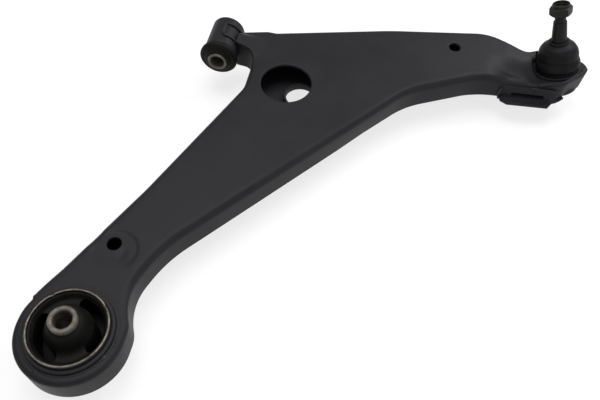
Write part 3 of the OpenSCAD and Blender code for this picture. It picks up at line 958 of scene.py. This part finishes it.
front = {"centre": (31, 333.5, 7), "axis": (0, 1, 0), "wall": 3.0, "sleeveWall": 1.5, "bead": 19.5}
coreLow, coreHigh = boxOf("front_bush_inner_sleeve")
frontCore, frontHalf = (coreHigh[0] - coreLow[0]) / 2, (coreHigh[1] - coreLow[1]) / 2
tubeFrom, tubeTo = tubeLow[1] - front["centre"][1], tubeHigh[1] - front["centre"][1]
skinRadius = tubeRadius - front["wall"]
dress(makeObject("frontTube", turned(Skin(), rimCorners(skinRadius, tubeRadius, tubeFrom, tubeTo, 0.9),
      front["centre"], front["axis"])), "arm", coat, ["front_bush_tube"])
dress(makeObject("frontOuterSleeve", turned(Skin(), rimCorners(skinRadius - front["sleeveWall"], skinRadius,
      tubeFrom - 1, tubeTo + 1, 0.3), front["centre"], front["axis"])), "arm", ringSteel,
      ["front_bush_outer_sleeve"])


def frontRubber():
    core, skinIn, bead = frontCore + 0.05, skinRadius - front["sleeveWall"], front["bead"]
    section = roundedLine([
        (core, -26.2, 0.3), (core + 1.2, -26.6, 0.5), (core + 3.4, -25.2, 1.5), (core + 5, -24.0, 1.0),
        (core + 6.2, -24.4, 0.8), (bead - 1.6, -23.4, 1.5), (bead, -21.6, 1.8), (bead - 0.2, -18.0, 2.0),
        (bead - 2.4, tubeFrom - 1.2, 0.4), (skinIn, tubeFrom - 1.2, 0.2), (skinIn, tubeTo + 1.1, 0.3),
        (skinIn + 0.9, tubeTo + 1.2, 0.3), (core + 3, tubeTo + 2.0, 1.5), (core + 1.2, tubeTo + 3.2, 0.6),
        (core, tubeTo + 3.2, 0.2),
    ], 0.8)
    thing = makeObject("frontRubber", turned(Skin(), section, front["centre"], front["axis"], 150), 50)
    return dress(thing, None, bushRubber, ["front_bush_rubber"])


bendBetween(frontRubber(), front["centre"], front["axis"],
            frontCore + 0.5, skinRadius - 2)
innerSleeve("frontInnerSleeve", frontCore, frontHalf, front["centre"], front["axis"], "front_sleeve",
            "front_bush_inner_sleeve")


# Beads where the strap lies on the tube: two arcs round it and one along its end.
def frontWeld():
    skin, r = Skin(), tubeRadius + 0.9
    a = np.radians(np.linspace(24, strap["to"] + 1, 110))
    middle = np.array([frontCentre[0], 0, frontCentre[2]])
    for y in (strap["y"] - 8.7, strap["y"] + 8.7):
        arc = middle + np.stack([r * np.cos(a), y + 0 * a, r * np.sin(a)], 1)
        step = np.gradient(arc, axis=0)
        lift = np.cross(step, [0, 1.0, 0])
        lift *= -np.sign((lift * (middle - arc)).sum(1))[:, None] / np.linalg.norm(lift, axis=1)[:, None]
        weldBead(skin, arc, lift, 1.1, 1.0, 2.0, seed=y)
    y = np.linspace(strap["y"] - 8.2, strap["y"] + 8.2, 40)
    end = np.radians(strap["to"] + 2)
    line = middle + np.stack([r * np.cos(end) + 0 * y, y, r * np.sin(end) + 0 * y], 1)
    weldBead(skin, line, np.array([np.cos(end), 0, np.sin(end)]), 1.5, 1.3, 2.0)
    dressWeld("frontTubeWeld", skin, "front_tube_weld")


frontWeld()
print("front bush built")

joint = {"housing": 20.0, "flange": 23.5, "groove": 18.2, "cavity": 16.0, "ball": 12.5, "ballAt": -6.0,
         "taper": 7.5, "taperTop": 6.5, "thread": 6.0, "pitch": 1.5, "flats": 9.5, "nutLow": 62.5}
seatCentre = np.array(seat["at"])


def seatTurned(name, corners, step, turns=128, closed=True, sharp=38, wobble=None):
    section = roundedLine(corners, step, closed=closed)
    return makeObject(name, turned(Skin(), section, seatCentre, seatAxis, turns, closed, wobble=wobble), sharp)


housing = seatTurned("ballJointHousing", [
    (joint["cavity"], -21, 0.3), (joint["housing"] - 1.2, -21, 0.3), (joint["housing"], -19.8, 0.3),
    (joint["housing"], 0, 0.3), (joint["flange"], 0, 0.5), (joint["flange"], 2.2, 0.8), (joint["groove"], 2.2, 0.4),
    (joint["groove"], 4.8, 0.3), (joint["groove"] + 0.9, 5, 0.2), (joint["groove"] + 0.9, 6, 0.3), (13.6, 6, 0.5),
    (12, 0, 0.5), (joint["cavity"], 0, 0.3),
], 2.0)
dress(housing, "arm", coat, ["ball_joint_housing"])
cover = seatTurned("closingCover", [(0, -19.4, 0), (15.9, -19.4, 0.2), (15.9, -20.9, 0.5), (12, -20.9, 1.0),
                                    (10, -20.2, 1.5), (0, -20.2, 0)], 1.5, closed=False)
dress(cover, "arm", coat, ["closing_cover"])
t = np.linspace(0, 2 * math.pi, 300, endpoint=False)
right, ahead, along = axesOf(seatAxis)
ringPath = seatCentre - 3.4 * seatAxis + 21.2 * (np.cos(t)[:, None] * right + np.sin(t)[:, None] * ahead)
housingSkin = Skin()
weldBead(housingSkin, ringPath, seatAxis, 1.6, 1.5, 2.3, True)
dressWeld("housingWeld", housingSkin, "housing_weld")


# A spring band clamping the boot's foot.
clamp = seatTurned("bootClampRing", [(20.15, 3.1, 0.2), (21.1, 3.1, 0.35), (21.3, 3.8, 0.3), (21.1, 4.5, 0.35),
                                     (20.15, 4.5, 0.2)], 0.4)
dress(clamp, "arm", springSteel, ["boot_clamp_ring"])


# Boot section: clamped foot, fat lower fold, a waist, the domed upper fold and a collar round the stud.
def makeBoot():
    section = roundedLine([
        (18.3, 2.5, 0.2), (20.0, 2.6, 0.3), (20.05, 5.0, 0.4), (21.4, 5.6, 0.9), (22.0, 8.2, 2.5),
        (21.7, 11.5, 3), (20.3, 14.6, 3), (19.3, 16.4, 0.9), (19.95, 17.5, 0.9), (19.8, 20.5, 5), (18.9, 25.0, 6),
        (15.8, 29.3, 4), (11.6, 31.6, 2), (10.0, 32.2, 0.5), (9.8, 34.3, 0.6), (joint["taper"] + 0.1, 34.4, 0.3),
        (joint["taper"] + 0.1, 31.8, 0.5), (8.4, 30.4, 1), (12, 28.9, 2), (15.4, 26.6, 3), (17.3, 23.5, 3),
        (17.9, 19.5, 2), (17.3, 16.4, 1), (19.0, 12.4, 2), (19.9, 9, 2), (19.5, 6.4, 0.6), (19.3, 4.9, 0.3),
        (18.3, 4.6, 0.2),
    ], 0.7)

    def slack(t, r, h):  # the folds are never quite even all round
        free = ease(h, 5, 12) * ease(h, 33, 27)
        return r + free * 0.22 * np.sin(2 * t + 0.7) * np.cos(h * 0.35), h + free * 0.35 * np.sin(t - 0.9)

    thing = makeObject("dustBoot", turned(Skin(), section, seatCentre, seatAxis, 160, wobble=slack), 50)
    dress(thing, None, bootRubber, ["dust_boot"])
    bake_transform(thing)
    return thing


makeBoot()
topRing = seatTurned("bootTopRing", [(9.75, 32.7, 0.25), (10.6, 32.7, 0.4), (10.6, 34.0, 0.4),
                                     (9.75, 34.0, 0.25)], 0.4)
dress(topRing, "ball_tilt", springSteel, ["boot_top_ring"])


# Threads on a shank: a triangle wave climbing one pitch a turn, faded at both ends.
def threaded(low, high, depth):
    def wobble(t, r, h):
        wave = np.abs(((h / joint["pitch"] - t / (2 * math.pi)) % 1) * 2 - 1)
        on = ease(h, low, low + 0.8) * ease(h, high, high - 0.8) * (r > joint["thread"] - 0.6)
        return r - on * depth * wave, h

    return wobble


threadLow, studEnd = 60.0, 70.2
threadStep, endChamfer = 0.25, 1.2
steps = int((studEnd - endChamfer - threadLow) / threadStep)
shank = [(joint["thread"], threadLow + k * threadStep) for k in range(1, steps)]
ballLow = joint["ballAt"]
studSection = np.concatenate([
    np.stack([joint["ball"] * np.sin(np.radians(np.arange(0, 149, 4))),
              ballLow - joint["ball"] * np.cos(np.radians(np.arange(0, 149, 4)))], 1),
    roundedLine([(6.6, ballLow + 11.2, 0), (6.5, 14, 1.5), (joint["taper"], 18, 1.5), (joint["taper"], 36, 1),
                 (joint["taperTop"], 55, 0.5), (5.4, 56.2, 0.6), (5.4, 59.3, 0.5), (joint["thread"], threadLow, 0.2),
                 (joint["thread"], threadLow + threadStep, 0)], 1.5, closed=False),
    np.array(shank),
    roundedLine([(joint["thread"], studEnd - 1.1, 0), (joint["thread"] - 1, studEnd, 0.2), (1.6, studEnd, 0.3),
                 (1.2, studEnd - 1.0, 0.2), (0, studEnd - endChamfer, 0)], 0.5, closed=False),
])
stud = makeObject("ballStud", turned(Skin(), studSection, seatCentre, seatAxis, 96, False,
                                     wobble=threaded(threadLow, studEnd - endChamfer, 0.55)), 50)
dress(stud, "stud", studSteel, ["ball_stud"])


# A hexagon nut with a collar: radius is the flat's distance over the cosine of the angle from its middle,
# cut by a 30 degree chamfer cone at both ends.
def makeNut():
    flats, low = joint["flats"], joint["nutLow"]
    high, corner = 8.5, joint["flats"] / math.cos(math.radians(30))
    section = roundedLine([
        (6.05, 0.6, 0), (6.8, 0.0, 0.2), (flats * 0.93, 0.0, 0.3), (corner, 0.9, 0.3), (corner, high - 0.9, 0.3),
        (flats * 0.93, high, 0.1), (8.5, high, 0.1), (8.4, 10.6, 0.4), (8.0, 11.2, 0.2), (7.1, 11.2, 0.2),
        (6.75, 10.4, 0.3), (6.6, 9.0, 0.3), (6.05, 8.4, 0.2), (6.05, 0.6, 0),
    ], 0.35, closed=False)[:-1]

    def hexed(t, r, h):
        side = t % math.radians(60) - math.radians(30)
        flat = flats / np.cos(side)
        cone = flats * 0.96 + np.minimum(h, high - h) * 1.73
        on = (r > 8.55) & (h < high + 0.01)
        soft = np.minimum(np.minimum(r, flat), np.maximum(cone, flats * 0.9))
        return np.where(on, soft, r), h

    skin = turned(Skin(), section, seatCentre + low * seatAxis, seatAxis, 192, wobble=hexed)
    dress(makeObject("studNut", skin, 28), "stud", nutSteel, ["stud_nut"])


makeNut()
for name, look in (("bearing_seat", seatPlastic), ("preload_spring", springSteel)):
    paint(nodes[name], look)
print("ball joint built")


lighting = {"sky": 0.42, "key": 15.0, "back": 9.0, "side": 2.0, "floor": 0.75}


def makeStage():
    f = Finish("paleFloor")
    mottle = f.noise(90, 3)
    base = f.tint((0.25, 0.25, 0.25, 1), (0.28, 0.28, 0.28, 1), mottle)
    glow = {"Emission_Color": (1, 1, 1, 1), "Emission_Strength": lighting["floor"]}
    material = f.done(Base_Color=base, Roughness=0.9 + mottle * 0.05, Specular_IOR_Level=0.1, **glow)
    skin = Skin()
    gx, gy = np.meshgrid(np.linspace(-6000, 6000, 9), np.linspace(-6000, 6000, 9), indexing="ij")
    skin.grid(np.stack([gx, gy, np.full_like(gx, cadLow[2] / mm - 0.4)], -1))
    floor = makeObject("floor", skin)
    floor.data.materials.append(material)


def areaLight(name, at, target, size, power, colour=(1, 1, 1)):
    data = bpy.data.lights.new(name, "AREA")
    data.shape = "RECTANGLE"
    data.size, data.size_y = size
    data.energy = power
    data.color = colour
    lamp = bpy.data.objects.new(name, data)
    scene.collection.objects.link(lamp)
    lamp.location = at
    lamp.rotation_euler = (Vector(target) - Vector(at)).to_track_quat("-Z", "Y").to_euler()


world = bpy.data.worlds.new("studio")
world.use_nodes = True
world.node_tree.nodes["Background"].inputs["Color"].default_value = (1, 1, 1, 1)
world.node_tree.nodes["Background"].inputs["Strength"].default_value = lighting["sky"]
scene.world = world
makeStage()
middle = (0.17, 0.2, 0.0)
areaLight("key", (-0.1, 0.5, 1.5), middle, (0.9, 0.9), lighting["key"])
areaLight("back", (0.85, 1.1, 0.95), middle, (0.7, 0.5), lighting["back"])
areaLight("side", (1.3, -0.2, 0.5), middle, (0.6, 0.8), lighting["side"], (0.85, 0.92, 1.0))

view = {"at": (0.1824, -0.1457, 0.4633), "lens": 37.36, "azimuth": 6.82, "elevation": 56.22, "roll": 4.81}
az, el, roll = (math.radians(view[key]) for key in ("azimuth", "elevation", "roll"))
back = Vector((math.sin(az) * math.cos(el), -math.cos(az) * math.cos(el), math.sin(el)))
side = Vector((math.cos(az), math.sin(az), 0))
rise = back.cross(side)
turnedSide = side * math.cos(roll) + rise * math.sin(roll)
turnedRise = rise * math.cos(roll) - side * math.sin(roll)
camera = bpy.data.objects.new("camera", bpy.data.cameras.new("camera"))
camera.data.sensor_width = 36
camera.data.lens = view["lens"]
camera.data.clip_start, camera.data.clip_end = 0.01, 50
facing = np.eye(4)
facing[:3, 0], facing[:3, 1], facing[:3, 2], facing[:3, 3] = turnedSide, turnedRise, back, view["at"]
camera.matrix_world = Matrix(facing.tolist())
scene.collection.objects.link(camera)
scene.camera = camera
print("stage set")
